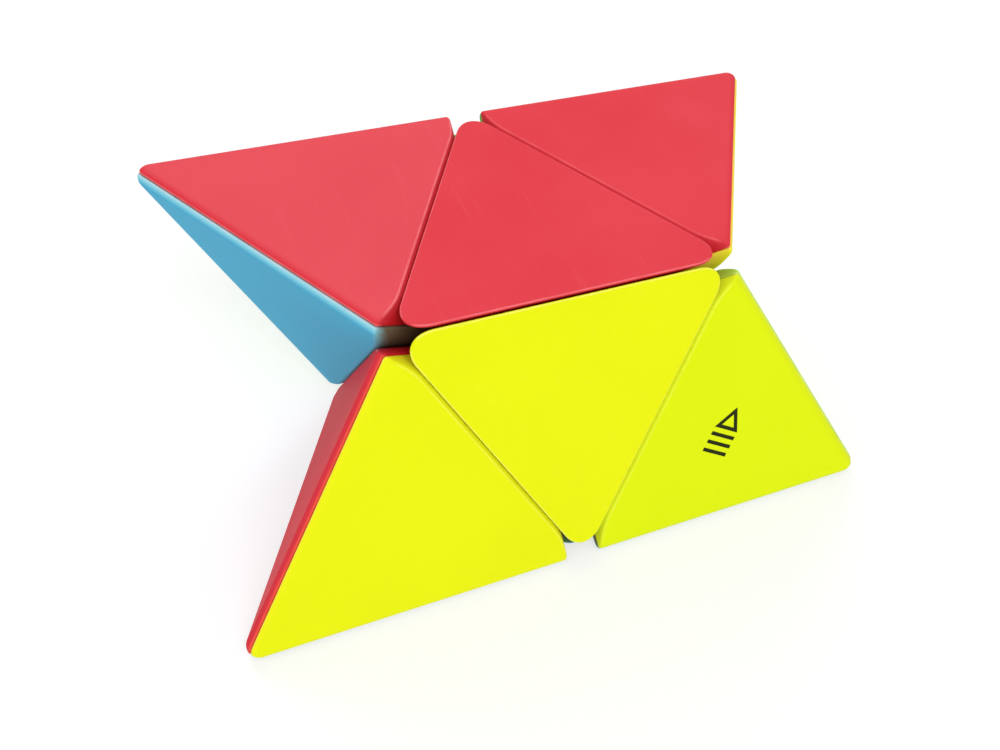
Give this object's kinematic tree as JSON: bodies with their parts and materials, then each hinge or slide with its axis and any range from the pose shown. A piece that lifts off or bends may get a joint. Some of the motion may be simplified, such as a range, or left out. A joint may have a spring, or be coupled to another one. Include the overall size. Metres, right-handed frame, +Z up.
{
  "type": "pyramid twisty puzzle",
  "caption": "Tetrahedral twisty puzzle in coloured plastic, split by square cuts through its centre, shown with one half turned a quarter turn and lying on one side.",
  "frame": {"origin": "middle of the footprint on the table, straight below the core", "axes": "+Z up through the red side, +X along the two parallel ridges, from the left tips to the right tips, -Y towards the yellow side"},
  "size_m": [0.0854, 0.0506, 0.0367],
  "materials": {
    "red_plastic": "satin, coloured through",
    "yellow_plastic": "satin, coloured through",
    "green_plastic": "satin, coloured through",
    "blue_plastic": "satin, coloured through",
    "black_plastic": "as moulded",
    "core_plastic": "as moulded",
    "screw_steel": "plated",
    "spring_steel": "bright"
  },
  "bodies": {
    "core_and_blue_centre": {"blue_centre_cap": "blue_plastic", "blue_centre_foot": "black_plastic", "core": "core_plastic", "spring_screws": "screw_steel", "fixed_hub_screws": "screw_steel", "tension_springs": "spring_steel", "spring_washers": "spring_steel", "low_right_hub": "black_plastic", "low_left_hub": "black_plastic", "front_hub": "black_plastic", "hidden_edge_low_right_low_left": "black_plastic", "hidden_edge_low_right_front": "black_plastic", "hidden_edge_low_left_front": "black_plastic"},
    "lower_left_tip": {"lower_left_tip_blue_cap": "blue_plastic", "lower_left_tip_yellow_cap": "yellow_plastic", "lower_left_tip_red_cap": "red_plastic", "lower_left_tip_foot": "black_plastic", "left_hub": "black_plastic", "hidden_edge_left_low_left": "black_plastic", "hidden_edge_left_front": "black_plastic"},
    "lower_right_tip": {"lower_right_tip_yellow_cap": "yellow_plastic", "lower_right_tip_blue_cap": "blue_plastic", "lower_right_tip_green_cap": "green_plastic", "lower_right_tip_foot": "black_plastic", "right_hub": "black_plastic", "hidden_edge_right_low_right": "black_plastic", "hidden_edge_right_front": "black_plastic"},
    "green_centre": {"green_centre_cap": "green_plastic", "green_centre_foot": "black_plastic", "rear_hub": "black_plastic", "hidden_edge_rear_low_right": "black_plastic", "hidden_edge_rear_low_left": "black_plastic"},
    "yellow_centre": {"yellow_centre_cap": "yellow_plastic", "yellow_centre_foot": "black_plastic", "hidden_edge_left_right": "black_plastic"},
    "upper_left_tip": {"upper_left_tip_red_cap": "red_plastic", "upper_left_tip_green_cap": "green_plastic", "upper_left_tip_blue_cap": "blue_plastic", "upper_left_tip_foot": "black_plastic", "hidden_edge_left_rear": "black_plastic"},
    "upper_right_tip": {"upper_right_tip_red_cap": "red_plastic", "upper_right_tip_green_cap": "green_plastic", "upper_right_tip_yellow_cap": "yellow_plastic", "upper_right_tip_foot": "black_plastic", "hidden_edge_right_rear": "black_plastic"},
    "red_centre": {"red_centre_cap": "red_plastic", "red_centre_foot": "black_plastic"}
  },
  "joints": [
    {"name": "left_side_turn", "type": "hinge", "parent": "core_and_blue_centre", "child": "lower_left_tip", "pos_m": [0, 0, 0.01837], "axis": [-0.7071, -0.4082, 0.5774], "range_deg": [-360, 360]},
    {"name": "right_side_turn", "type": "hinge", "parent": "core_and_blue_centre", "child": "lower_right_tip", "pos_m": [0, 0, 0.01837], "axis": [0.7071, -0.4082, 0.5774], "range_deg": [-360, 360]},
    {"name": "upper_half_turn", "type": "hinge", "parent": "core_and_blue_centre", "child": "green_centre", "pos_m": [0, 0, 0.01837], "axis": [0, 0.8165, 0.5773], "continuous": true},
    {"name": "yellow_centre_right_turn", "type": "hinge", "parent": "lower_left_tip", "child": "yellow_centre", "pos_m": [0, 0, 0.01837], "axis": [0.7071, -0.4082, 0.5774], "range_deg": [-360, 360]},
    {"name": "upper_left_tip_left_turn", "type": "hinge", "parent": "green_centre", "child": "upper_left_tip", "pos_m": [0, 0, 0.01837], "axis": [-0.7071, -0.4082, 0.5774], "range_deg": [-360, 360]},
    {"name": "upper_right_tip_right_turn", "type": "hinge", "parent": "green_centre", "child": "upper_right_tip", "pos_m": [0, 0, 0.01837], "axis": [0.7071, -0.4082, 0.5774], "range_deg": [-360, 360]},
    {"name": "red_centre_right_turn", "type": "hinge", "parent": "upper_left_tip", "child": "red_centre", "pos_m": [0, 0, 0.01837], "axis": [0.7071, -0.4082, 0.5774], "range_deg": [-360, 360]}
  ],
  "couplings": [
    {"joint": "yellow_centre_right_turn", "follows": "right_side_turn", "ratio": 1},
    {"joint": "upper_right_tip_right_turn", "follows": "right_side_turn", "ratio": 1},
    {"joint": "red_centre_right_turn", "follows": "right_side_turn", "ratio": 1},
    {"joint": "upper_left_tip_left_turn", "follows": "left_side_turn", "ratio": 1}
  ]
}
